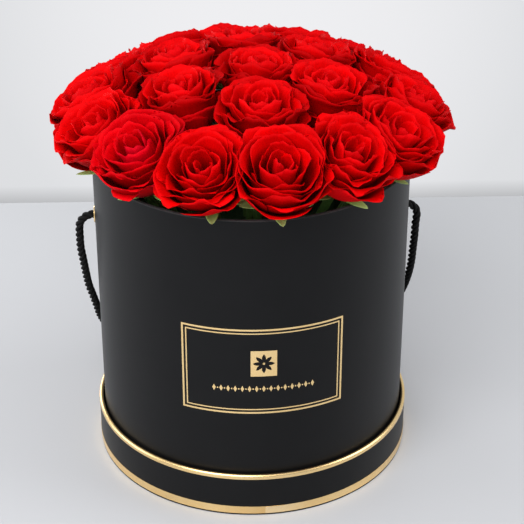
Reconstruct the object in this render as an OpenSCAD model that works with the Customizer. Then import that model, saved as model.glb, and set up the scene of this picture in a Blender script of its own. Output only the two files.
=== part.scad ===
// Round flower box: a paper-covered board box that stands in its own upturned lid, with a rope
// handle, a waterproof liner, a floral foam block and a dome of cut roses.
// The origin is the centre of the lid's underside, on the surface that the box stands on.
// +Z is up, the label faces -Y, the eyelets lie on the X axis and the rope hangs behind, at +Y.

/* [Box] */
// Outside diameter of the covered box
box_d = 200; // [199:0.5:201]
// Height of the box
box_h = 205; // [200:1:206]
// Thickness of the grey board
board_t = 2; // [1.6:0.1:2.4]
// Thickness of the covering paper
paper_t = 0.3; // [0.2:0.05:0.4]
// How far the covering paper is turned down inside the mouth
hem_h = 14; // [8:1:20]

/* [Lid] */
// Height of the lid
lid_h = 30.5; // [28:0.5:36]
// Gap between the box and the inside of the lid band
lid_gap = 1.1; // [0.8:0.1:1.3]
// Width of the foil strip down the outside of the lid's open edge
edge_foil_w = 3; // [2:0.1:5]
// Width of the foil strip around the lid's panel end
foot_foil_w = 5.3; // [3:0.1:8]
// Height of bare paper below the foot strip
foot_foil_z = 1.2; // [0.8:0.1:3]
// How far the foot strip's end is laid over its start
foot_foil_lap = 12; // [6:1:20]
// Thickness of the gold foil
foil_t = 0.2; // [0.1:0.05:0.25]

/* [Label] */
// Width of the label frame, measured around the box
label_w = 102; // [80:1:120]
// Height of the label frame
label_h = 60; // [50:1:80]
// Width of the outer frame line
frame_line_w = 1.2; // [1:0.1:2.5]
// Width of the inner frame line
inner_line_w = 0.8; // [0.6:0.1:2]
// Gap between the two frame lines
line_gap = 1.4; // [0.8:0.1:3]
// Width of the emblem
emblem_w = 16; // [14:0.5:24]
// Height of the emblem
emblem_h = 18; // [14:0.5:22]
// Height of the emblem's centre above the label's centre
emblem_rise = 6; // [0:0.5:10]
// Depth of the ornament row below the label's centre
ornament_drop = 12; // [10:0.5:16]
// Number of lozenges in the ornament row
lozenge_count = 15; // [9:2:15]

/* [Handle] */
// Diameter of the rope
rope_d = 5.2; // [4:0.1:5.2]
// Depth of the eyelets below the box's rim
eyelet_drop = 42.3; // [41.8:0.1:42.8]
// Inside radius of the eyelets
eyelet_r = 3.1; // [3:0.05:3.3]
// Outside radius of an eyelet's flange
flange_r = 5.5; // [5:0.1:6]
// Radius of a stop knot
knot_r = 6.5; // [5:0.1:7]

/* [Insert] */
// Height of the liner
liner_h = 146; // [120:1:148]
// Wall of the liner
liner_t = 0.8; // [0.5:0.1:1.2]
// Depth of the foam's top below the liner's edge
foam_drop = 5; // [2:1:20]
// Diameter of a rose stem
stem_d = 5.4; // [4:0.2:6]
// Depth of the stems in the foam
stem_in_foam = 25; // [15:1:30]

/* [Roses] */
// Height of a bloom from its receptacle to its crown
bloom_h = 44; // [43:0.5:45]

/* [Hidden] */
middle_count = 6;
outer_count = 14;
MIDDLE_NAMES = [for (i = [1:middle_count]) str("rose_middle_", i)];
OUTER_NAMES = [for (i = [1:outer_count]) str("rose_outer_", i)];

$fn = 48;

// Lid: radii from the outside in, and the level that the box stands on.
box_r = box_d / 2;
lid_hem_r = box_r + lid_gap;
lid_in_r = lid_hem_r + paper_t;
lid_board_r = lid_in_r + board_t;
lid_r = lid_board_r + paper_t;
lid_hem_h = 16;
lid_edge_r = (lid_in_r + lid_board_r) / 2;
lid_edge_z = lid_h - foil_t - paper_t - board_t / 2;
foil_lap_azimuth = -89.5;
box_z = paper_t + board_t;

// Box: levels and radii
wall_out_r = box_r - paper_t;
wall_in_r = wall_out_r - board_t;
base_z = box_z + paper_t;
rim_z = box_z + box_h;
base_fold_w = 12;
edge_round = 0.8;

// Label, centred on the front of the box
label_z = box_z + box_h / 2;
ornament_half_w = 30.5;
lozenge_w = 2.2;
lozenge_h = 4.4;
dot_r = 0.5;
rosette_petals = 8;
rosette_r = 6.2;

// Handle
eyelet_z = rim_z - eyelet_drop;
barrel_r = eyelet_r + 0.5;
flange_t = 0.8;
hole_r = barrel_r + 0.1;
washer_r = 6;
washer_t = 0.5;
washer_x = wall_in_r - 0.2;
curl_t = 0.7;
curl_r = barrel_r + 1;
knot_x = washer_x - washer_t - curl_t;
knot_len = 12;
tail_len = 6;
tail_r = 2.6;
rope_sides = 10;
rope_steps = 2;

// The rope's route down each side, from its knot towards the middle of the back
ROUTE_RIGHT = [
    [knot_x, 0, eyelet_z], [98.5, 0, eyelet_z], [102, 0, 164.4], [105, 0.5, 162.4],
    [107, 1, 159.4], [107.6, 1.5, 155.5], [107.3, 3, 148], [107.5, 5, 139], [107.6, 8.5, 128],
    [107.8, 12.5, 116], [107.2, 17, 104], [105.8, 22.5, 92], [103.5, 29.5, 80], [100, 38, 68],
    [94.5, 49, 57], [86, 62, 47], [74, 76.5, 39], [58, 90, 33], [39.5, 100, 29.5],
    [20, 105.6, 27.5], [0, 107.5, 27]];
ROUTE_LEFT = [
    [-knot_x, 0, eyelet_z], [-101, 0, eyelet_z], [-104.6, 0, 164.3], [-107.6, 0.5, 162.2],
    [-109.7, 1, 159], [-110.4, 1.5, 155], [-110.6, 3, 147.5], [-110.6, 5.5, 138.5],
    [-109.6, 8.5, 127.5], [-108.6, 12.5, 116], [-107.5, 17, 104.5], [-105.2, 21.5, 93],
    [-103.2, 26, 82], [-101.5, 31, 72], [-98.5, 38.5, 62], [-93, 50, 52], [-84, 64, 43],
    [-72, 79, 36], [-56, 91.5, 31], [-38, 100.5, 28.5], [-19, 105.8, 27.3]];

// Insert
liner_z = base_z + board_t;
liner_r = 96;
liner_lip = 1;
foam_clear = 0.5;
foam_top_z = liner_z + liner_h - foam_drop;
foam_chamfer = 4;
hole_clear = 0.1;

// Roses: each ring's crown radius, crown height, outward tilt, bloom radius and first azimuth
CENTRE = [5, 273, 3, 23.5, 0];
MIDDLE = [55, 269.5, 12, 24, -88];
OUTER = [107, 252, 30, 25.7, -84.5];
base_r = 5.5;
belly = 0.68;
profile_steps = 9;
press_gap = 0.9;
hip_h = 6;
sepal_count = 5;
sepal_len = 13;
sepal_w = 5;
sepal_t = 0.8;
sepal_droop = 25;

function azimuth(ring, count, i) = ring[4] + 360 * i / count;
function reverse(list) = [for (i = [len(list) - 1:-1:0]) list[i]];
function unit(v) = v / norm(v);

// A panel wrapped on the front of the box, its width measured around the box.
module wrapped_panel(arc_w, height, inner_r, thickness) {
    degrees = arc_w / box_r * 180 / PI;
    rotate([0, 0, -90 - degrees / 2])
        translate([0, 0, -height / 2])
            rotate_extrude(angle = degrees, $fn = 120)
                translate([inner_r, 0]) square([thickness, height]);
}

// A flat outline pressed on to the front of the box as foil.
module foil_stamp(centre_arc = 0) {
    rotate([0, 0, centre_arc / box_r * 180 / PI])
        intersection() {
            difference() {
                cylinder(r = box_r + foil_t, h = 2 * label_h, center = true, $fn = 120);
                cylinder(r = box_r, h = 3 * label_h, center = true, $fn = 120);
            }
            translate([0, -box_r + 5, 0]) rotate([90, 0, 0]) linear_extrude(12) children();
        }
}

module stamped_frame(width, height, line) {
    difference() {
        wrapped_panel(width, height, box_r, foil_t);
        wrapped_panel(width - 2 * line, height - 2 * line, box_r - 1, foil_t + 2);
    }
}

module lozenge(w, h) {
    polygon([[-w / 2, 0], [0, -h / 2], [w / 2, 0], [0, h / 2]]);
}

module lid_panel_board() {
    color("dimgray")
        translate([0, 0, paper_t]) cylinder(r = lid_in_r, h = board_t, $fn = 120);
}

// The round of the lid's open edge, from the outside (0 degrees) over to the inside (180).
function lid_round(radius, last = 180) =
    [for (a = [0:15:last]) [lid_edge_r + radius * cos(a), lid_edge_z + radius * sin(a)]];

module lid_band_board() {
    color("dimgray")
        rotate_extrude($fn = 120)
            polygon(concat(
                [[lid_in_r, paper_t], [lid_board_r, paper_t]], lid_round(board_t / 2)));
}

module lid_panel_paper() {
    color("#232426") cylinder(r = lid_board_r, h = paper_t, $fn = 120);
}

// The paper strip round the band, folded over the open edge and turned down inside.
module lid_band_paper() {
    hem_z = lid_edge_z - lid_hem_h;
    color("#232426")
        rotate_extrude($fn = 120)
            polygon(concat(
                [[lid_board_r, 0], [lid_r, 0]],
                lid_round(board_t / 2 + paper_t),
                [[lid_hem_r, hem_z], [lid_in_r, hem_z]],
                reverse(lid_round(board_t / 2))));
}

// The foil strip laid over the round of the open edge.
module lid_edge_foil() {
    skin = board_t / 2 + paper_t;
    low = lid_h - edge_foil_w;
    color("#d7af6c")
        rotate_extrude($fn = 120)
            polygon(concat(
                [[lid_r, low], [lid_r + foil_t, low]],
                lid_round(skin + foil_t, 150),
                reverse(lid_round(skin, 150))));
}

// The foil strip round the foot, whose slightly trimmed end is laid over its start at the front.
module lid_foot_foil() {
    lap = foot_foil_lap / lid_r * 180 / PI;
    trim = 0.1;
    color("#d7af6c")
        translate([0, 0, foot_foil_z]) {
            rotate_extrude($fn = 120)
                translate([lid_r, 0]) square([foil_t, foot_foil_w]);
            rotate([0, 0, foil_lap_azimuth])
                rotate_extrude(angle = lap, $fn = 120)
                    translate([lid_r + foil_t / 2, trim])
                        square([foil_t * 1.5, foot_foil_w - 2 * trim]);
        }
}

module eyelet_bores() {
    for (side = [0, 180])
        rotate([0, 0, side])
            translate([box_r - 8, 0, eyelet_z])
                rotate([0, 90, 0]) cylinder(r = hole_r, h = 16);
}

module box_wall_board() {
    color("dimgray")
        difference() {
            translate([0, 0, base_z])
                rotate_extrude($fn = 120)
                    translate([wall_in_r, 0]) square([board_t, box_h - 2 * paper_t]);
            eyelet_bores();
        }
}

module box_base_board() {
    color("dimgray")
        translate([0, 0, base_z]) cylinder(r = wall_in_r, h = board_t, $fn = 120);
}

// The covering paper: round the wall, folded under the base and rounded over into the mouth.
module box_paper() {
    hem_r = wall_in_r - paper_t;
    color("#232426")
        difference() {
            rotate_extrude($fn = 120)
                polygon(concat(
                    [[box_r - base_fold_w, box_z], [box_r, box_z]],
                    [for (a = [0:15:90])
                        [box_r - edge_round * (1 - cos(a)), rim_z - edge_round * (1 - sin(a))]],
                    [for (a = [90:15:180])
                        [hem_r + edge_round * (1 + cos(a)), rim_z - edge_round * (1 - sin(a))]],
                    [[hem_r, rim_z - hem_h], [wall_in_r, rim_z - hem_h],
                     [wall_in_r, rim_z - paper_t], [wall_out_r, rim_z - paper_t],
                     [wall_out_r, base_z], [box_r - base_fold_w, base_z]]));
            eyelet_bores();
        }
}

module label_frame_outer() {
    color("#d7af6c")
        translate([0, 0, label_z]) stamped_frame(label_w, label_h, frame_line_w);
}

module label_frame_inner() {
    inset = 2 * (frame_line_w + line_gap);
    color("#d7af6c")
        translate([0, 0, label_z])
            stamped_frame(label_w - inset, label_h - inset, inner_line_w);
}

// A panel of foil with a plain eight-petalled rosette left open in it. Each petal is the part
// that two circles share.
module label_emblem() {
    petal_r = rosette_r * 0.72;
    petal_shift = petal_r * 0.72;
    color("#d7af6c")
        translate([0, 0, label_z + emblem_rise])
            foil_stamp()
                difference() {
                    square([emblem_w, emblem_h], center = true);
                    for (i = [0:rosette_petals - 1])
                        rotate(360 * i / rosette_petals)
                            translate([rosette_r * 0.58, 0])
                                intersection() {
                                    translate([0, petal_shift]) circle(petal_r);
                                    translate([0, -petal_shift]) circle(petal_r);
                                }
                }
}

// A row of lozenges with a dot between each pair.
module label_ornament() {
    pitch = 2 * ornament_half_w / (lozenge_count - 1);
    color("#d7af6c")
        translate([0, 0, label_z - ornament_drop]) {
            for (i = [0:lozenge_count - 1])
                foil_stamp(-ornament_half_w + i * pitch) lozenge(lozenge_w, lozenge_h);
            for (i = [0:lozenge_count - 2])
                foil_stamp(-ornament_half_w + (i + 0.5) * pitch) circle(dot_r);
        }
}

// One eyelet: flange outside the wall, barrel through it, and a curl behind the washer.
module eyelet() {
    color("#d7af6c")
        translate([0, 0, eyelet_z])
            rotate([0, 90, 0])
                rotate_extrude()
                    polygon([
                        [eyelet_r, knot_x], [curl_r, knot_x], [curl_r, knot_x + curl_t],
                        [barrel_r, knot_x + curl_t], [barrel_r, box_r], [flange_r, box_r],
                        [flange_r - 0.3, box_r + flange_t * 0.7],
                        [flange_r - 1, box_r + flange_t], [eyelet_r + 0.5, box_r + flange_t],
                        [eyelet_r, box_r + flange_t - 0.5]]);
}

module washer() {
    color("#d7af6c")
        translate([washer_x - washer_t, 0, eyelet_z])
            rotate([0, 90, 0])
                difference() {
                    cylinder(r = washer_r, h = washer_t);
                    translate([0, 0, -1]) cylinder(r = hole_r, h = washer_t + 2);
                }
}

module eyelet_right() { eyelet(); }
module eyelet_left() { rotate([0, 0, 180]) eyelet(); }
module washer_right() { washer(); }
module washer_left() { rotate([0, 0, 180]) washer(); }

// A stop knot drawn up against the eyelet's curl, with a short cut tail.
module knot() {
    turn = knot_len / 2;
    color("#161617")
        translate([knot_x, 0, eyelet_z])
            rotate([0, -90, 0])
                rotate_extrude()
                    polygon(concat(
                        [[0, 0]],
                        [for (a = [-60:20:60]) [knot_r * cos(a), turn + turn * sin(a) / sin(60)]],
                        [[tail_r, knot_len], [tail_r, knot_len + tail_len],
                         [0, knot_len + tail_len]]));
}

module knot_right() { knot(); }
module knot_left() { rotate([0, 0, 180]) knot(); }

// Catmull-Rom position between points b and c of four route points, t from 0 to 1.
function spline(a, b, c, d, t) =
    0.5 * (2 * b + (c - a) * t + (2 * a - 5 * b + 4 * c - d) * t * t
           + (3 * b - a - 3 * c + d) * t * t * t);

// The whole route, knot face to knot face, with rope_steps rings to each span.
function rope_route() =
    let (all = concat(ROUTE_RIGHT, reverse(ROUTE_LEFT)), n = len(all))
    concat(
        [for (i = [0:n - 2], k = [0:rope_steps - 1])
            spline(all[max(i - 1, 0)], all[i], all[i + 1], all[min(i + 2, n - 1)],
                   k / rope_steps)],
        [all[n - 1]]);

function tangent(path, i) =
    unit(path[min(i + 1, len(path) - 1)] - path[max(i - 1, 0)]);

// The side direction of each ring, carried along the path without twisting.
function side_of(side, along) = unit(side - (side * along) * along);
function sides(path) =
    [for (i = 0, s = side_of([0, 1, 0], tangent(path, 0));
          i < len(path);
          i = i + 1, s = i < len(path) ? side_of(s, tangent(path, i)) : s) s];

module rope_handle() {
    path = rope_route();
    side = sides(path);
    rings = len(path);
    points = [for (i = [0:rings - 1], k = [0:rope_sides - 1])
        let (other = cross(tangent(path, i), side[i]), a = 360 * k / rope_sides)
        path[i] + rope_d / 2 * (cos(a) * side[i] + sin(a) * other)];
    walls = [for (i = [0:rings - 2], k = [0:rope_sides - 1])
        let (next = (k + 1) % rope_sides)
        [i * rope_sides + k, (i + 1) * rope_sides + k,
         (i + 1) * rope_sides + next, i * rope_sides + next]];
    start = [for (k = [0:rope_sides - 1]) k];
    end = [for (k = [rope_sides - 1:-1:0]) (rings - 1) * rope_sides + k];
    color("#161617") polyhedron(points, concat([start], walls, [end]));
}

// A waterproof pot that stands on the base board, with a small turned-out lip.
module liner() {
    color("#30363a")
        translate([0, 0, liner_z])
            rotate_extrude($fn = 120)
                polygon([
                    [0, 0], [liner_r, 0], [liner_r, liner_h - liner_t],
                    [liner_r + liner_lip, liner_h - liner_t], [liner_r + liner_lip, liner_h],
                    [liner_r - liner_t, liner_h], [liner_r - liner_t, liner_t], [0, liner_t]]);
}

// Places its children with their origin at a rose's receptacle and +Z along the bloom's axis.
module at_receptacle(ring, count, i) {
    rotate([0, 0, azimuth(ring, count, i)])
        translate([ring[0] - bloom_h * sin(ring[2]), 0, ring[1] - bloom_h * cos(ring[2])])
            rotate([0, ring[2], 0]) children();
}

// Straight rods below a ring's blooms, down to a stem's depth in the foam.
module stem_rods(ring, count, diameter, depth) {
    receptacle_z = ring[1] - bloom_h * cos(ring[2]);
    length = (receptacle_z - foam_top_z + depth) / cos(ring[2]) - hip_h;
    for (i = [0:count - 1])
        at_receptacle(ring, count, i)
            translate([0, 0, -hip_h - length]) cylinder(d = diameter, h = length);
}

module stem_bores(ring, count) {
    stem_rods(ring, count, stem_d + 2 * hole_clear, stem_in_foam + hole_clear);
}

module floral_foam() {
    foot = liner_z + liner_t;
    radius = liner_r - liner_t - foam_clear;
    color("#3f6b3a")
        difference() {
            rotate_extrude($fn = 120)
                polygon([
                    [0, foot], [radius, foot], [radius, foam_top_z - foam_chamfer],
                    [radius - foam_chamfer, foam_top_z], [0, foam_top_z]]);
            stem_bores(CENTRE, 1);
            stem_bores(MIDDLE, middle_count);
            stem_bores(OUTER, outer_count);
        }
}

module stems(ring, count) {
    color("#4d7a34") stem_rods(ring, count, stem_d, stem_in_foam);
}

module stem_centre() { stems(CENTRE, 1); }
module stems_middle() { stems(MIDDLE, middle_count); }
module stems_outer() { stems(OUTER, outer_count); }

// The green hip under a bloom, with its sepals turned down.
module calyx() {
    rotate_extrude()
        translate([0, -hip_h])
            polygon([[0, 0], [stem_d / 2, 0], [base_r - 0.5, hip_h * 0.5], [base_r, hip_h],
                     [0, hip_h]]);
    for (i = [0:sepal_count - 1])
        rotate([0, 0, 360 * i / sepal_count])
            translate([base_r - 1.5, 0, -sepal_t - 0.4])
                rotate([0, sepal_droop, 0])
                    linear_extrude(sepal_t)
                        polygon([
                            [0, -sepal_w * 0.35], [sepal_len * 0.4, -sepal_w / 2],
                            [sepal_len, 0], [sepal_len * 0.4, sepal_w / 2],
                            [0, sepal_w * 0.35]]);
}

module calyces(ring, count) {
    color("#5c8c3a")
        for (i = [0:count - 1]) at_receptacle(ring, count, i) calyx();
}

module calyx_centre() { calyces(CENTRE, 1); }
module calyces_middle() { calyces(MIDDLE, middle_count); }
module calyces_outer() { calyces(OUTER, outer_count); }

// The closed outline of a bloom: a cup that swells to its belly and a domed face.
module bloom(radius) {
    cup = [for (k = [0:profile_steps])
        let (t = k / profile_steps)
        [base_r + (radius - base_r) * pow(sin(90 * t), 0.65), belly * bloom_h * t]];
    face = [for (k = [1:profile_steps - 1])
        let (a = 90 * k / profile_steps)
        [radius * cos(a), bloom_h * (belly + (1 - belly) * sin(a))]];
    color("#c8101c")
        rotate_extrude() polygon(concat([[0, 0]], cup, face, [[0, bloom_h]]));
}

module rose(ring, count, i) {
    at_receptacle(ring, count, i) bloom(ring[3]);
}

// The outer blooms press on each other, so each is flattened where it meets its neighbours.
module pressed_rose(ring, count, i) {
    reach = 150;
    half = 180 / count;
    intersection() {
        rose(ring, count, i);
        rotate([0, 0, azimuth(ring, count, i)])
            translate([press_gap, 0, 0])
                linear_extrude(2 * box_h)
                    polygon([[0, 0], [reach, -reach * tan(half)], [reach, reach * tan(half)]]);
    }
}

lid_panel_board();
lid_band_board();
lid_panel_paper();
lid_band_paper();
lid_edge_foil();
lid_foot_foil();
box_wall_board();
box_base_board();
box_paper();
label_frame_outer();
label_frame_inner();
label_emblem();
label_ornament();
eyelet_left();
eyelet_right();
washer_left();
washer_right();
liner();
floral_foam();
stem_centre();
stems_middle();
stems_outer();
calyx_centre();
calyces_middle();
calyces_outer();
rose(CENTRE, 1, 0);  // rose_centre
for (i = [0:middle_count - 1])
    rose(MIDDLE, middle_count, i);
for (i = [0:outer_count - 1])
    pressed_rose(OUTER, outer_count, i);
rope_handle();
knot_left();
knot_right();
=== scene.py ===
"""Looks of the flower box: roses, rope, paper, foil and the studio around them.

Everything is in metres, in the frame of the CAD model: the label faces -Y and +Z is up.
"""

import math
import random

import bpy
import numpy as np
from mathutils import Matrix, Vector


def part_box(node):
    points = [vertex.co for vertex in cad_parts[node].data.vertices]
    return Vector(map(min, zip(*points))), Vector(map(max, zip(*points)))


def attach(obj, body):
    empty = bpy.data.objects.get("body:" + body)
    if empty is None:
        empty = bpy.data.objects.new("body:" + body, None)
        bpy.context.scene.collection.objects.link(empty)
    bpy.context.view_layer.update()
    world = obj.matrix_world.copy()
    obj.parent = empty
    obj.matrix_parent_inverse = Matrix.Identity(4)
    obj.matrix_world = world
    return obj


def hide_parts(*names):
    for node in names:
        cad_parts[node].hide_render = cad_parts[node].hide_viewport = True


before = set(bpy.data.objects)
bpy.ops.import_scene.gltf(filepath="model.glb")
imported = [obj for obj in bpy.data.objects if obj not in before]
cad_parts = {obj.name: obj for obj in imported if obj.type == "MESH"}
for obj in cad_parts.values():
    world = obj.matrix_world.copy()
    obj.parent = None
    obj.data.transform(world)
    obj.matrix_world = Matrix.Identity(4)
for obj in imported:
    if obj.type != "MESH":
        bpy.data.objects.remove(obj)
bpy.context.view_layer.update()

MM = 0.001

# Sizes that the frame gives
RIM_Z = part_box("box_paper")[1].z
EYELET_Z = (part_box("eyelet_right")[0].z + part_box("eyelet_right")[1].z) / 2
KNOT_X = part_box("knot_right")[1].x
KNOT_TAIL_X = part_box("knot_right")[0].x

# The rope
ROPE_D = 5.2 * MM
ROPE_STRANDS = 3
ROPE_LAY = 13 * MM

# Roses: each ring's crown radius, crown height, outward tilt, bloom radius and first azimuth,
# with the angles in degrees
BLOOM_H = 44 * MM
CENTRE_RING = (5 * MM, 273 * MM, 3.0, 23.5 * MM, 0.0)
MIDDLE_RING = (55 * MM, 269.5 * MM, 12.0, 24 * MM, -88.0)
OUTER_RING = (107 * MM, 252 * MM, 30.0, 25.7 * MM, -84.5)
MIDDLE_COUNT = 6
OUTER_COUNT = 14
PETALS = 24

# Petals that lean out past this radius are held in by the ring
OUTER_REACH = 123.5 * MM

# The sepals follow the cup of a bloom, whose height is this many times its radius squared
CUP_CURVE = 25.0

# The azimuth where the foot strip's foil laps over itself
FOIL_SEAM = math.radians(-89.5)


# ---------------------------------------------------------------- camera

def make_camera():
    """A long lens that looks down on the front of the box from a little to its left."""
    data = bpy.data.cameras.new("camera")
    data.sensor_width = 36
    data.lens = 106.5
    camera = bpy.data.objects.new("camera", data)
    camera.location = (-0.0627, -0.8855, 0.613)
    camera.rotation_euler = (math.radians(61.24), 0, math.radians(-4.48))
    bpy.context.scene.collection.objects.link(camera)
    bpy.context.scene.camera = camera


make_camera()


# ---------------------------------------------------------------- mesh helpers

class Shape:
    """Collects closed parts, each with its per-vertex attributes, into one mesh."""

    def __init__(self):
        self.points = []
        self.faces = []
        self.attributes = {}
        self.count = 0

    def add(self, points, faces, **attributes):
        points = np.asarray(points, float)
        self.points.append(points)
        self.faces += [[i + self.count for i in face] for face in faces]
        for name, values in attributes.items():
            column = np.broadcast_to(np.asarray(values, float), len(points))
            self.attributes.setdefault(name, []).append(column)
        self.count += len(points)

    def build(self, name, material, body, replaces=()):
        mesh = bpy.data.meshes.new(name)
        mesh.from_pydata(np.concatenate(self.points).tolist(), [], self.faces)
        for key, columns in self.attributes.items():
            layer = mesh.attributes.new(key, "FLOAT", "POINT")
            layer.data.foreach_set("value", np.concatenate(columns).astype(np.float32))
        mesh.shade_smooth()
        mesh.materials.append(material)
        piece = bpy.data.objects.new(name, mesh)
        bpy.context.scene.collection.objects.link(piece)
        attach(piece, body)
        if replaces:
            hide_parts(*replaces)
        return piece


def unit(vectors):
    return vectors / np.maximum(np.linalg.norm(vectors, axis=-1, keepdims=True), 1e-12)


def smooth(t):
    t = np.clip(t, 0, 1)
    return t * t * (3 - 2 * t)


def catmull_rom(points, steps):
    """A smooth line through the points, with that many steps to each span."""
    p = np.asarray(points, float)
    padded = np.vstack([p[:1], p, p[-1:]])
    line = []
    for i in range(len(p) - 1):
        a, b, c, d = padded[i:i + 4]
        for t in np.arange(steps) / steps:
            line.append(0.5 * (2 * b + (c - a) * t + (2 * a - 5 * b + 4 * c - d) * t ** 2
                               + (3 * b - a - 3 * c + d) * t ** 3))
    line.append(p[-1])
    return np.array(line)


def resample(line, spacing):
    """The same line with its points evenly spaced."""
    length = np.concatenate([[0], np.cumsum(np.linalg.norm(np.diff(line, axis=0), axis=1))])
    at = np.linspace(0, length[-1], max(2, round(length[-1] / spacing) + 1))
    return np.stack([np.interp(at, length, line[:, k]) for k in range(3)], axis=1)


def carried_frames(line):
    """Tangent, side and other side at each point, carried along the line without twisting."""
    along = unit(np.gradient(line, axis=0))
    side = np.zeros_like(line)
    start = np.array([0.0, 1.0, 0.0]) if abs(along[0][1]) < 0.9 else np.array([1.0, 0.0, 0.0])
    for i, direction in enumerate(along):
        previous = side[i - 1] if i else start
        side[i] = unit(previous - (previous @ direction) * direction)
    return along, side, np.cross(along, side)


def tube_part(line, radius, sides):
    """Points and faces of a closed round tube along a line."""
    along, side, other = carried_frames(line)
    angle = 2 * math.pi * np.arange(sides) / sides
    ring = np.cos(angle)[None, :, None] * side[:, None] + np.sin(angle)[None, :, None] * other[:, None]
    radius = np.broadcast_to(np.asarray(radius, float), len(line))
    points = (line[:, None] + radius[:, None, None] * ring).reshape(-1, 3)
    faces = [[i * sides + k, i * sides + (k + 1) % sides,
              (i + 1) * sides + (k + 1) % sides, (i + 1) * sides + k]
             for i in range(len(line) - 1) for k in range(sides)]
    last = (len(line) - 1) * sides
    faces.append(list(range(sides))[::-1])
    faces.append([last + k for k in range(sides)])
    return points, faces


def leaf_part(surface, thickness):
    """Points and faces of a thin closed leaf about a grid of surface points, tapered to its rim."""
    rows, columns = surface.shape[:2]
    normal = unit(np.cross(np.gradient(surface, axis=1), np.gradient(surface, axis=0)))
    v = np.linspace(0, 1, rows)[:, None]
    u = np.linspace(-1, 1, columns)[None, :]
    body = np.minimum(1, 0.3 + 6 * np.minimum(1 - np.abs(u), 1 - v))
    half = (thickness / 2 * body)[..., None] * normal
    points = np.concatenate([(surface + half).reshape(-1, 3), (surface - half).reshape(-1, 3)])
    under = rows * columns
    faces = []
    for i in range(rows - 1):
        for k in range(columns - 1):
            a, b = i * columns + k, i * columns + k + 1
            c, d = b + columns, a + columns
            faces.append([a, b, c, d])
            faces.append([under + d, under + c, under + b, under + a])
    rim = ([k for k in range(columns)]
           + [i * columns + columns - 1 for i in range(1, rows)]
           + [(rows - 1) * columns + k for k in range(columns - 2, -1, -1)]
           + [i * columns for i in range(rows - 2, 0, -1)])
    for a, b in zip(rim, rim[1:] + rim[:1]):
        faces.append([b, a, under + a, under + b])
    return points, faces


# ---------------------------------------------------------------- material helpers

class Graph:
    """A material's node graph, with a short way to add and link nodes."""

    def __init__(self, name, **sockets):
        self.material = bpy.data.materials.new(name)
        self.material.use_nodes = True
        self.tree = self.material.node_tree
        self.shader = self.tree.nodes["Principled BSDF"]
        self.set(self.shader, sockets)

    def set(self, node, sockets):
        for key, value in sockets.items():
            socket = node.inputs[key.replace("_", " ")] if isinstance(key, str) else node.inputs[key]
            if isinstance(value, bpy.types.NodeSocket):
                self.tree.links.new(value, socket)
            else:
                socket.default_value = value

    def add(self, kind, sockets=None, **settings):
        node = self.tree.nodes.new(kind)
        for key, value in settings.items():
            setattr(node, key, value)
        self.set(node, sockets or {})
        return node

    def math(self, operation, a, b=0.0, clamp=False):
        node = self.add("ShaderNodeMath", {0: a, 1: b}, operation=operation, use_clamp=clamp)
        return node.outputs[0]

    def mix(self, factor, a, b, blend="MIX"):
        node = self.add("ShaderNodeMix", {0: factor, 6: a, 7: b}, data_type="RGBA", blend_type=blend)
        return node.outputs[2]

    def shade(self, factor, colour, amount):
        """Darkens a colour by up to the amount, as far as the factor goes."""
        return self.mix(factor, colour, grey(1 - amount), "MULTIPLY")

    def attribute(self, name):
        return self.add("ShaderNodeAttribute", attribute_name=name).outputs["Fac"]

    def place(self):
        return self.add("ShaderNodeTexCoord").outputs["Object"]

    def stretched(self, vector, scale):
        node = self.add("ShaderNodeMapping", {"Vector": vector, "Scale": scale})
        return node.outputs["Vector"]

    def noise(self, vector, scale, detail=3.0, roughness=0.5):
        node = self.add("ShaderNodeTexNoise", {
            "Vector": vector, "Scale": scale, "Detail": detail, "Roughness": roughness})
        return node.outputs["Fac"]

    def ramp(self, value, *stops):
        node = self.add("ShaderNodeValToRGB", {"Fac": value})
        elements = node.color_ramp.elements
        while len(elements) < len(stops):
            elements.new(0.5)
        for element, (position, colour) in zip(elements, stops):
            element.position = position
            element.color = colour
        return node.outputs["Color"]

    def bump(self, height, distance, strength=1.0):
        node = self.add("ShaderNodeBump", {
            "Height": height, "Distance": distance, "Strength": strength})
        self.set(self.shader, {"Normal": node.outputs["Normal"]})


def grey(value):
    return (value, value, value, 1)


# ---------------------------------------------------------------- materials

def black_paper():
    """Black covering paper, with a painted highlight that makes it a little lighter along the box's
    rim.
    """
    g = Graph("black_paper", Specular_IOR_Level=0.16)
    at = g.place()
    fibre = g.noise(g.stretched(at, (1, 1, 3)), 900, 4)
    cloud = g.noise(at, 40, 2)
    ink = g.mix(cloud, (0.003, 0.0031, 0.0036, 1), (0.0048, 0.005, 0.0056, 1))
    height = g.add("ShaderNodeSeparateXYZ", {0: at}).outputs["Z"]
    # Painted highlight: the paper turns lighter grey in its fibre pattern over the top 0.9 mm below
    # the rim, standing in for light caught on the rim's edge.
    painted_rim_highlight = g.math("MULTIPLY", g.math("SUBTRACT", height, RIM_Z - 0.9 * MM), 1 / (0.9 * MM), clamp=True)
    g.set(g.shader, {
        "Base Color": g.mix(g.math("MULTIPLY", painted_rim_highlight, fibre), ink, (0.09, 0.09, 0.095, 1)),
        "Roughness": g.math("ADD", g.math("MULTIPLY", fibre, 0.1), 0.36)})
    g.bump(fibre, 0.00006, 0.35)
    return g.material


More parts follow.
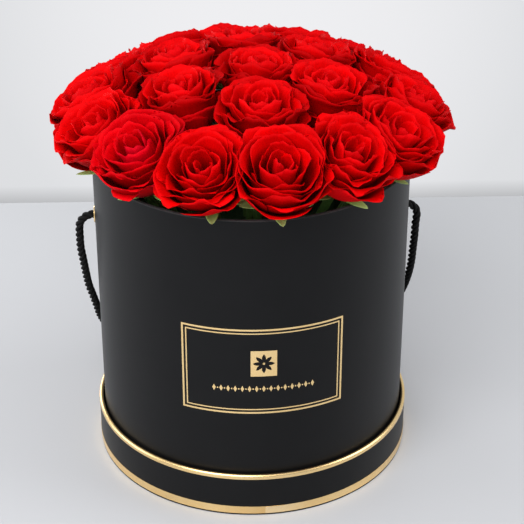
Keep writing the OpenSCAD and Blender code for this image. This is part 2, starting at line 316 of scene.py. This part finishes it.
def gold_foil(name="gold_foil", roughness=0.27, seam=None):
    """Gold foil, lightly creased. Where a strip laps over itself it gets painted shade just before the
    seam and a painted highlight just past it.
    """
    g = Graph(name, Metallic=1.0, Roughness=roughness)
    at = g.place()
    crease = g.noise(at, 70, 3)
    grain = g.noise(at, 1400, 2)
    gold = g.mix(crease, (0.94, 0.64, 0.27, 1), (1.0, 0.76, 0.40, 1))
    if seam is not None:
        axes = g.add("ShaderNodeSeparateXYZ", {0: at}).outputs
        past = g.math("SUBTRACT", g.math("ARCTAN2", axes["Y"], axes["X"]), seam)
        # Painted shade and highlight at the lap: the foil is darkened just before the seam, then
        # lightened and paled just past it, fading out on either side.
        painted_lap_light = g.ramp(g.math("ADD", past, 0.5), (0.2, grey(0.96)), (0.497, (0.86, 0.80, 0.72, 1)),
                      (0.5, (1.0, 1.08, 1.35, 1)), (0.8, grey(0.96)))
        gold = g.mix(1.0, gold, painted_lap_light, "MULTIPLY")
    g.set(g.shader, {"Base Color": gold})
    g.bump(g.math("ADD", crease, g.math("MULTIPLY", grain, 0.04)), 0.0004, 0.4)
    return g.material


def grey_board():
    g = Graph("grey_board", Roughness=0.9)
    speck = g.noise(g.place(), 700, 5, 0.7)
    g.set(g.shader, {"Base Color": g.ramp(
        speck, (0.3, (0.16, 0.15, 0.13, 1)), (0.7, (0.42, 0.40, 0.36, 1)))})
    g.bump(speck, 0.0002, 0.6)
    return g.material


def liner_plastic():
    g = Graph("liner_plastic", Roughness=0.28)
    wave = g.noise(g.place(), 25, 2)
    g.set(g.shader, {"Base Color": g.mix(wave, (0.012, 0.014, 0.015, 1), (0.03, 0.034, 0.036, 1))})
    g.bump(wave, 0.0008, 0.4)
    return g.material


def foam():
    g = Graph("floral_foam", Roughness=0.95)
    at = g.place()
    cells = g.add("ShaderNodeTexVoronoi", {"Vector": at, "Scale": 900.0}).outputs["Distance"]
    blotch = g.noise(at, 60, 3)
    g.set(g.shader, {"Base Color": g.mix(blotch, (0.012, 0.045, 0.012, 1), (0.03, 0.10, 0.03, 1))})
    g.bump(cells, 0.0006, 0.8)
    return g.material


def green_skin(name, dark, light, streak):
    g = Graph(name, Roughness=0.5, Specular_IOR_Level=0.35)
    at = g.place()
    blotch = g.noise(at, 220, 4, 0.6)
    fine = g.noise(g.stretched(at, streak), 500, 3)
    g.set(g.shader, {"Base Color": g.mix(blotch, dark, light)})
    g.bump(fine, 0.0003, 0.5)
    return g.material


def sepal_skin():
    g = Graph("sepal_green", Roughness=0.5, Specular_IOR_Level=0.3)
    along = g.attribute("along")
    across = g.attribute("across")
    vein = g.noise(g.add("ShaderNodeCombineXYZ", {
        0: g.math("MULTIPLY", across, 5.0), 1: along, 2: g.attribute("tone")}).outputs[0], 3, 2)
    flesh = g.ramp(along, (0.0, (0.07, 0.18, 0.03, 1)), (0.5, (0.26, 0.50, 0.10, 1)),
                   (1.0, (0.46, 0.70, 0.24, 1)))
    g.set(g.shader, {"Base Color": g.mix(g.math("MULTIPLY", vein, 0.5), flesh, (0.36, 0.56, 0.20, 1))})
    g.bump(vein, 0.0003, 0.6)
    return g.material


def rose_petal():
    """Red petals with painted shade: dark at the foot and bright at the lip, and darker still behind
    where they lie bunched.
    """
    g = Graph("rose_petal", Roughness=0.6, Specular_IOR_Level=0.03)
    along = g.attribute("along")
    tone = g.attribute("tone")
    veins = g.noise(g.add("ShaderNodeCombineXYZ", {
        0: g.math("MULTIPLY", g.attribute("across"), 9.0), 1: g.math("MULTIPLY", along, 1.2),
        2: g.math("MULTIPLY", tone, 20.0)}).outputs[0], 4, 3)
    cloud = g.noise(g.place(), 90, 3)
    # Painted shade: the faces darken towards the petal's foot as if shaded deep inside the bloom, and
    # the backs that lie bunched against the next petal are painted dark over more of their length.
    inner = g.ramp(along, (0.0, (0.04, 0.0, 0.0, 1)), (0.55, (0.42, 0.0, 0.0, 1)),
                   (0.84, (1.0, 0.0, 0.001, 1)))
    behind = g.ramp(along, (0.5, (0.07, 0.0, 0.0, 1)), (0.95, (0.92, 0.0, 0.001, 1)))
    bare = g.mix(along, (0.34, 0.0, 0.001, 1), (0.96, 0.001, 0.004, 1))
    face = g.mix(g.attribute("back"), inner, g.mix(g.attribute("bare"), behind, bare))
    blush = g.ramp(g.attribute("blush"), (0.75, (1, 1, 1, 1)), (0.95, (0.98, 1, 5, 1)))
    blushed = g.mix(1.0, face, blush, "MULTIPLY")
    lipped = g.mix(g.math("MULTIPLY", g.attribute("lip"), 0.2), blushed, (0.85, 0.01, 0.018, 1))
    # The tone attribute darkens each petal by up to 0.42: partly a random amount per petal, partly
    # painted shade on the petals round the heart.
    toned = g.shade(tone, g.shade(veins, g.shade(cloud, lipped, 0.25), 0.3), 0.42)
    g.set(g.shader, {"Base Color": toned})
    g.bump(veins, 0.0005, 0.3)
    return g.material


def rope_yarn():
    g = Graph("black_rope", Roughness=0.7, Specular_IOR_Level=0.15)
    fibre = g.noise(g.add("ShaderNodeCombineXYZ", {
        0: g.math("MULTIPLY", g.attribute("turn"), 6.0), 1: g.attribute("along"),
        2: g.attribute("tone")}).outputs[0], 2.2, 4)
    g.set(g.shader, {"Base Color": g.mix(fibre, (0.002, 0.002, 0.002, 1), (0.007, 0.007, 0.0075, 1))})
    g.bump(fibre, 0.0006, 0.7)
    return g.material


PAPER = black_paper()
GOLD = gold_foil()
FOOT_GOLD = gold_foil("foot_foil", seam=FOIL_SEAM)
BRASS = gold_foil("eyelet_brass", 0.2)
BOARD = grey_board()
PETAL = rose_petal()
SEPAL = sepal_skin()
YARN = rope_yarn()
STEM = green_skin("stem_green", (0.05, 0.13, 0.025, 1), (0.13, 0.25, 0.06, 1), (1, 1, 0.1))


# ---------------------------------------------------------------- rope

# The rope's course in millimetres, from each knot out through its eyelet, down the wall and
# round the back of the lid, where the two halves meet
ROUTE_RIGHT = [
    (KNOT_X / MM, 0, 165), (98.5, 0, 165), (102, 0, 164.4), (105, 0.5, 162.4),
    (107, 1, 159.4), (107.6, 1.5, 155.5), (107.3, 3, 148), (107.5, 5, 139), (107.6, 8.5, 128),
    (107.8, 12.5, 116), (107.2, 17, 104), (105.8, 22.5, 92), (103.5, 29.5, 80), (100, 38, 68),
    (94.5, 49, 57), (86, 62, 47), (74, 76.5, 39), (58, 90, 33), (39.5, 100, 29.5),
    (20, 105.6, 27.5), (0, 107.5, 27)]
ROUTE_LEFT = [
    (-KNOT_X / MM, 0, 165), (-101, 0, 165), (-104.6, 0, 164.3), (-107.6, 0.5, 162.2),
    (-109.7, 1, 159), (-110.4, 1.5, 155), (-110.6, 3, 147.5), (-110.6, 5.5, 138.5),
    (-109.6, 8.5, 127.5), (-108.6, 12.5, 116), (-107.5, 17, 104.5), (-105.2, 21.5, 93),
    (-103.2, 26, 82), (-101.5, 31, 72), (-98.5, 38.5, 62), (-93, 50, 52), (-84, 64, 43),
    (-72, 79, 36), (-56, 91.5, 31), (-38, 100.5, 28.5), (-19, 105.8, 27.3)]


def add_rope(shape, centre_line, diameter):
    """Three round strands laid round a centre line."""
    strand_r = 0.235 * diameter
    offset = 0.285 * diameter
    along, side, other = carried_frames(centre_line)
    travel = np.concatenate([[0], np.cumsum(np.linalg.norm(np.diff(centre_line, axis=0), axis=1))])
    for strand in range(ROPE_STRANDS):
        turn = 2 * math.pi * (travel / ROPE_LAY + strand / ROPE_STRANDS)
        line = centre_line + offset * (np.cos(turn)[:, None] * side + np.sin(turn)[:, None] * other)
        sides = 10
        points, faces = tube_part(line, strand_r, sides)
        shape.add(points, faces,
                  turn=np.tile(np.arange(sides) / sides, len(line)),
                  along=np.repeat(travel / ROPE_LAY, sides), tone=float(strand))


def make_rope():
    route = np.array(ROUTE_RIGHT + ROUTE_LEFT[::-1], float) * MM
    centre_line = resample(catmull_rom(route, 12), 0.9 * MM)
    shape = Shape()
    add_rope(shape, centre_line, ROPE_D)
    rope = shape.build("rope", YARN, "handle", ["rope_handle"])
    length = float(np.linalg.norm(np.diff(centre_line, axis=0), axis=1).sum())
    return rope, centre_line, length


def make_knot(name, node, side):
    """An overhand knot with a short tail, drawn up behind the eyelet of one side (1 or -1)."""
    t = np.linspace(0, 1, 90)
    turn = 2 * math.pi * (t * 1.55 - 0.05)
    radius = 3.9 * MM * np.sin(math.pi * np.clip(t * 1.04, 0, 1)) ** 0.45
    x = KNOT_X - 2.4 * MM - (t + 0.13 * np.sin(2 * turn)) * 7.5 * MM
    line = np.stack([x, radius * np.cos(turn), EYELET_Z + radius * np.sin(turn)], axis=1)
    tail = np.array([[KNOT_TAIL_X, 0, EYELET_Z]])
    line = catmull_rom(np.vstack([[[KNOT_X, 0, EYELET_Z]], line[::6], tail]), 8)
    line[:, 0] *= side
    shape = Shape()
    add_rope(shape, resample(line, 0.8 * MM), ROPE_D)
    return shape.build(name, YARN, "handle", [node])


rope, rope_line, rope_length = make_rope()
knots = [make_knot("knot_right_rope", "knot_right", 1), make_knot("knot_left_rope", "knot_left", -1)]


# ---------------------------------------------------------------- roses

def heart_share(s):
    """How far a petal belongs to the tight heart of its bloom."""
    return smooth(1 - s / 0.4)


def guard_share(s):
    """How far a petal is one of the few low guard petals round the outside."""
    return smooth((s - 0.82) / 0.1)


def cup_line(run, s, belly, mouth, tip, height):
    """Radius and height along a petal's midline, a cup from the foot through belly to mouth."""
    guard = guard_share(s)
    foot, low, high, end = ((1 - run) ** 3, 3 * run * (1 - run) ** 2, 3 * run ** 2 * (1 - run),
                            run ** 3)
    r = foot * 3 * MM + low * 0.42 * belly + high * (1.12 - 0.17 * guard) * belly + end * mouth
    z = low * 0.03 * height + high * (0.55 - 0.1 * s) * tip + end * tip
    return r, z


def lip_shift(rng, run, u, s):
    """How far the lip rolls out and down, in a few slow waves with a soft point and small nicks."""
    guard = guard_share(s)
    lip = smooth((run - 0.78) / 0.22)
    phase = rng.uniform(0, 2 * math.pi)
    waves = rng.uniform(0.9, 2.0)
    point = (1 - guard) * np.exp(-((u - rng.uniform(-0.3, 0.3)) / 0.28) ** 2)
    swell = np.sin(math.pi * waves * u + phase) + 0.35 * np.sin(math.pi * 2.7 * waves * u - phase)
    nicks = np.sin(math.pi * 7.3 * u + phase) * np.sin(math.pi * 3.1 * u)
    roll = (0.6 + 5.0 * s - 2.4 * guard) * rng.uniform(0.7, 1.3) * (1 + 0.45 * swell + 0.25 * point)
    out = roll * lip ** 1.4 + (0.4 + 0.8 * s) * swell * run ** 4 + 0.3 * nicks * lip ** 2
    up = (-0.8 * roll * lip ** 2.6 + (0.4 + 0.5 * s) * np.cos(math.pi * waves * u + phase) * lip
          + (0.6 * nicks + 0.8 * point) * lip ** 2)
    return out * MM, up * MM


def petal_surface(rng, s, radius, height):
    """The grid of one petal in its bloom. s runs from 0 at the heart to 1 at the outside.

    Gives each point's radius, height and turn about the axis, and how far it lies along the
    petal (0 to 1) and across it (-1 to 1).
    """
    rows, columns = 16, 21
    v = np.linspace(0, 1, rows)[:, None]
    u = np.linspace(-1, 1, columns)[None, :]
    heart, guard = heart_share(s), guard_share(s)
    belly = radius * (0.2 + 0.8 * s ** 0.7) * rng.uniform(0.94, 1.06)
    mouth = belly * (1 - 0.45 * heart - 0.06 * s + 0.04 * guard)
    tip = height * (0.96 - 0.02 * heart - 0.05 * smooth((s - 0.5) / 0.4) - 0.22 * guard)
    tip *= rng.uniform(0.96, 1.04)
    width = 1.5 - 0.4 * smooth(s * 1.4) + 0.15 * guard + rng.uniform(-0.1, 0.1)

    # The midline is shorter towards the petal's sides, and one side lies outside the other.
    run = v * (1 - 0.2 * np.abs(u) ** 3)
    r, z = cup_line(run, s, belly, mouth, tip, height)
    r = r * (1 + 0.07 * u * rng.choice([-1, 1]) * run)
    out, up = lip_shift(rng, run, u, s)
    turn = width * u * (0.35 + 0.65 * np.sin(math.pi * 0.5 * np.clip(run * 1.5, 0, 1)))
    return r + out, z + up, turn, run, np.broadcast_to(u, run.shape)


def add_bloom(shape, rng, origin, axis, radius, height, painted_outer_shade, press=None):
    """Adds one rose: spiralled petals round an axis, from its heart outwards.

    The darkening argument after the height is painted shade: how much darker the petals round the
    heart are than the heart.
    """
    helper = np.array([0.0, 0.0, 1.0]) if abs(axis[2]) < 0.95 else np.array([1.0, 0.0, 0.0])
    side = unit(np.cross(helper, axis))
    other = np.cross(axis, side)
    golden = math.pi * (3 - math.sqrt(5))
    start = rng.uniform(0, 2 * math.pi)
    drift = (rng.uniform(-2, 2) * side + rng.uniform(-2, 2) * other) * MM
    blush = rng.random()
    for i in range(PETALS):
        s = i / (PETALS - 1)
        r, z, spread, run, across = petal_surface(rng, s, radius, height)
        turn = start + i * golden + rng.uniform(-0.3, 0.3) + spread
        surface = (origin + z[..., None] * axis + (1 - s) * run[..., None] * drift
                   + (r * np.cos(turn))[..., None] * side + (r * np.sin(turn))[..., None] * other)
        if press:
            surface = press(surface)
        points, faces = leaf_part(surface, 0.42 * MM)
        bare = max(heart_share(s), guard_share(s))
        # The tone is a random darkening per petal plus painted shade on the petals round the heart,
        # with none on the guard petals.
        tone = 0.5 * rng.random() + painted_outer_shade * smooth((s - 0.45) / 0.3) * (1 - guard_share(s))
        edge = np.maximum(smooth((np.abs(across) - 0.85) / 0.15), smooth((run - 0.9) / 0.1))
        edge = edge * smooth(run * 2)
        shape.add(points, faces,
                  along=np.tile(run.ravel(), 2), across=np.tile(across.ravel(), 2),
                  lip=np.tile(edge.ravel(), 2), tone=tone, blush=blush,
                  back=np.repeat([1.0, 0.0], run.size), bare=bare)


def bloom_frame(ring, count, index):
    """Receptacle, axis and azimuth in degrees of one bloom of a ring."""
    crown_r, crown_z, tilt, _, first = ring
    azimuth = first + 360 * index / count
    a, t = math.radians(azimuth), math.radians(tilt)
    axis = np.array([math.sin(t) * math.cos(a), math.sin(t) * math.sin(a), math.cos(t)])
    crown = np.array([crown_r * math.cos(a), crown_r * math.sin(a), crown_z])
    return crown - BLOOM_H * axis, axis, azimuth


def wedge_press(azimuth, half, share):
    """Squeezes points towards a wedge of the ring, as the neighbours press on a bloom, and in
    from beyond the ring's reach."""
    soft = 0.7 * half

    def press(points):
        r = np.hypot(points[..., 0], points[..., 1])
        r = np.minimum(r, OUTER_REACH + 0.4 * (r - OUTER_REACH))
        angle = np.degrees(np.arctan2(points[..., 1], points[..., 0])) - azimuth
        angle = (angle + 180) % 360 - 180
        past = np.maximum(np.abs(angle) - soft, 0)
        room = share * half - soft
        squeezed = np.minimum(np.abs(angle), soft) + room * np.tanh(past / room)
        a = np.radians(azimuth + np.sign(angle) * squeezed)
        return np.stack([r * np.cos(a), r * np.sin(a), points[..., 2]], axis=-1)

    return press


def make_ring(names, ring, seed, pressed=False):
    """A rose for each node of a ring. In a pressed ring every other rose is larger and leads."""
    for index, node in enumerate(names):
        rng = random.Random(seed + index)
        origin, axis, azimuth = bloom_frame(ring, len(names), index)
        leads = pressed and index % 2 == 0
        press = wedge_press(azimuth, 180 / len(names), 1.3 if leads else 1.1) if pressed else None
        radius = ring[3] * rng.uniform(1.01, 1.07) * (1.1 if leads else 1)
        height = BLOOM_H * (0.94 if pressed else 0.98)
        # Painted shade on the petals round the heart: slight in the pressed outer ring, strong in the
        # centre and middle blooms.
        painted_outer_shade = 0.1 if pressed else 0.6
        shape = Shape()
        add_bloom(shape, rng, origin, axis, radius, height, painted_outer_shade, press)
        shape.build(f"{node}_petals", PETAL, "box", [node])


OUTER_NAMES = [f"rose_outer_{i + 1}" for i in range(OUTER_COUNT)]
MIDDLE_NAMES = [f"rose_middle_{i + 1}" for i in range(MIDDLE_COUNT)]
make_ring(["rose_centre"], CENTRE_RING, 5)
make_ring(MIDDLE_NAMES, MIDDLE_RING, 26)
make_ring(OUTER_NAMES, OUTER_RING, 233, pressed=True)


def add_hip(shape, rng, origin, axis):
    """The green swelling under a bloom, turned about the bloom's axis."""
    line = origin + np.linspace(-6.5, 0.6, 8)[:, None] * MM * axis
    radius = np.array([2.6, 3.4, 4.4, 5.1, 5.4, 5.3, 4.9, 4.2]) * MM
    points, faces = tube_part(line, radius, 16)
    shape.add(points, faces, along=0.2, across=0.0, tone=rng.random())


def add_sepal(shape, rng, origin, axis, heading, sideways, cling):
    """One pointed sepal that reaches out from the bloom's foot and up along its cup."""
    length = rng.uniform(22, 28) * MM
    v = np.linspace(0, 1, 12)[:, None]
    u = np.linspace(-1, 1, 7)[None, :]
    reach = 3.5 * MM + length * v * 0.86
    rise = cling * CUP_CURVE * reach ** 2 - 0.9 * MM - 1.6 * MM * v ** 4 * rng.uniform(0, 1)
    half = 4.8 * MM * np.sin(math.pi * (0.2 + 0.8 * v)) ** 0.6 * (1 - 0.3 * v)
    gutter = 0.25 * half * u ** 2
    surface = (origin + reach[..., None] * heading + (u * half)[..., None] * sideways
               + (rise + gutter)[..., None] * axis)
    points, faces = leaf_part(surface, 0.5 * MM)
    along = np.broadcast_to(v, surface.shape[:2])
    across = np.broadcast_to(u, surface.shape[:2])
    shape.add(points, faces, along=np.tile(along.ravel(), 2),
              across=np.tile(across.ravel(), 2), tone=rng.random())


def add_calyx(shape, rng, origin, axis, outward):
    """A green hip with five sepals. Those that face outward cling to the bloom's cup."""
    side = unit(outward - (outward @ axis) * axis)
    other = np.cross(axis, side)
    add_hip(shape, rng, origin, axis)
    for k in range(5):
        turn = 2 * math.pi * k / 5 + rng.uniform(-0.4, 0.4)
        cling = rng.uniform(0.5, 0.7) if math.cos(turn) > 0.3 else rng.uniform(0.1, 0.6)
        heading = math.cos(turn) * side + math.sin(turn) * other
        add_sepal(shape, rng, origin, axis, heading, np.cross(axis, heading), cling)


def make_calyces(name, node, ring, count, seed):
    rng = random.Random(seed)
    shape = Shape()
    for index in range(count):
        origin, axis, azimuth = bloom_frame(ring, count, index)
        a = math.radians(azimuth)
        add_calyx(shape, rng, origin, axis, np.array([math.cos(a), math.sin(a), 0.0]))
    shape.build(name, SEPAL, "box", [node])


make_calyces("sepals_centre", "calyx_centre", CENTRE_RING, 1, 3)
make_calyces("sepals_middle", "calyces_middle", MIDDLE_RING, MIDDLE_COUNT, 4)
make_calyces("sepals_outer", "calyces_outer", OUTER_RING, OUTER_COUNT, 16)


# ---------------------------------------------------------------- CAD nodes

CAD_LOOKS = {
    "box_paper": PAPER, "lid_panel_paper": PAPER, "lid_band_paper": PAPER,
    "box_wall_board": BOARD, "box_base_board": BOARD, "lid_panel_board": BOARD,
    "lid_band_board": BOARD,
    "lid_edge_foil": GOLD, "lid_foot_foil": FOOT_GOLD, "label_frame_outer": GOLD,
    "label_frame_inner": GOLD, "label_emblem": GOLD, "label_ornament": GOLD,
    "eyelet_left": BRASS, "eyelet_right": BRASS, "washer_left": BRASS, "washer_right": BRASS,
    "liner": liner_plastic(), "floral_foam": foam(),
    "stem_centre": STEM, "stems_middle": STEM, "stems_outer": STEM,
}
for node, look in CAD_LOOKS.items():
    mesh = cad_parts[node].data
    mesh.materials.clear()
    mesh.materials.append(look)


# ---------------------------------------------------------------- studio

# The way from the box to the floor's far edge, and the way along that edge
HEADING = math.radians(87.3)
AHEAD = np.array([math.cos(HEADING), math.sin(HEADING), 0])
TO_RIGHT = np.array([math.sin(HEADING), -math.cos(HEADING), 0])
FLOOR_END = 0.344

# The room is brightest in the direction of the picture's top
GLOW_TOWARDS = (0.074, 0.943, -0.326)


def make_floor():
    """A pale table top whose far edge stands a little way behind the box."""
    g = Graph("floor", Roughness=0.5)
    g.set(g.shader, {"Base Color": (0.505, 0.513, 0.533, 1)})
    corners = [a * AHEAD + b * TO_RIGHT
               for a, b in ((-2.5, -3), (-2.5, 3), (FLOOR_END, 3), (FLOOR_END, -3))]
    mesh = bpy.data.meshes.new("floor")
    mesh.from_pydata([tuple(c) for c in corners], [], [(0, 1, 2, 3)])
    mesh.materials.append(g.material)
    floor = bpy.data.objects.new("floor", mesh)
    bpy.context.scene.collection.objects.link(floor)


def share_along(tree, direction, axis):
    """The share of a direction that lies along an axis."""
    node = tree.nodes.new("ShaderNodeVectorMath")
    node.operation = "DOT_PRODUCT"
    node.inputs[1].default_value = axis
    tree.links.new(direction, node.inputs[0])
    return node.outputs["Value"]


def room_glow(tree, direction):
    node = tree.nodes.new("ShaderNodeValToRGB")
    stops = [(0.5, (0.56, 0.57, 0.58, 1)), (0.95, (0.68, 0.69, 0.71, 1)),
             (0.984, (0.73, 0.74, 0.76, 1)), (0.999, (0.86, 0.86, 0.88, 1))]
    for position, colour in stops[1:-1]:
        node.color_ramp.elements.new(position)
    for element, (position, colour) in zip(node.color_ramp.elements, stops):
        element.position = position
        element.color = colour
    tree.links.new(share_along(tree, direction, GLOW_TOWARDS), node.inputs["Fac"])
    return node.outputs["Color"]


def corner_shadow(tree, direction):
    """A soft shadow just above the floor's far edge, as in the corner under a wall."""
    sight = FLOOR_END * AHEAD - np.array(bpy.context.scene.camera.location)
    above = share_along(tree, direction, unit(np.cross(TO_RIGHT, sight)))
    node = tree.nodes.new("ShaderNodeMapRange")
    node.inputs["From Max"].default_value = 0.0105
    node.inputs["To Min"].default_value = 0.69
    tree.links.new(above, node.inputs["Value"])
    return node.outputs["Result"]


def make_world():
    """An even pale room, brighter where the camera looks."""
    world = bpy.data.worlds.new("room")
    world.use_nodes = True
    tree = world.node_tree
    direction = tree.nodes.new("ShaderNodeTexCoord").outputs["Generated"]
    wall = tree.nodes.new("ShaderNodeVectorMath")
    wall.operation = "SCALE"
    tree.links.new(room_glow(tree, direction), wall.inputs[0])
    tree.links.new(corner_shadow(tree, direction), wall.inputs["Scale"])
    tree.links.new(wall.outputs["Vector"], tree.nodes["Background"].inputs["Color"])
    bpy.context.scene.world = world


def area_light(name, place, target, size, power):
    """A square soft light at a place, turned to face the target."""
    data = bpy.data.lights.new(name, "AREA")
    data.shape = "SQUARE"
    data.size = size
    data.energy = power
    lamp = bpy.data.objects.new(name, data)
    lamp.location = place
    direction = np.array(target, float) - np.array(place, float)
    heading = math.atan2(direction[1], direction[0])
    drop = math.atan2(-direction[2], math.hypot(direction[0], direction[1]))
    lamp.rotation_euler = (math.radians(90) - drop, 0, heading - math.radians(90))
    bpy.context.scene.collection.objects.link(lamp)


def make_studio():
    make_floor()
    make_world()
    bpy.context.scene.view_settings.view_transform = "Standard"
    area_light("key", (-0.5, -1.0, 1.1), (0, 0, 0.2), 1.2, 22)
    area_light("side", (1.2, -0.2, 0.9), (0, 0, 0.15), 0.9, 9)
    area_light("left", (-1.3, 0.1, 0.4), (0, 0, 0.12), 1.0, 7.5)
    area_light("behind", (-0.9, 1.3, 0.5), (0, 0, 0.15), 0.7, 6)


make_studio()
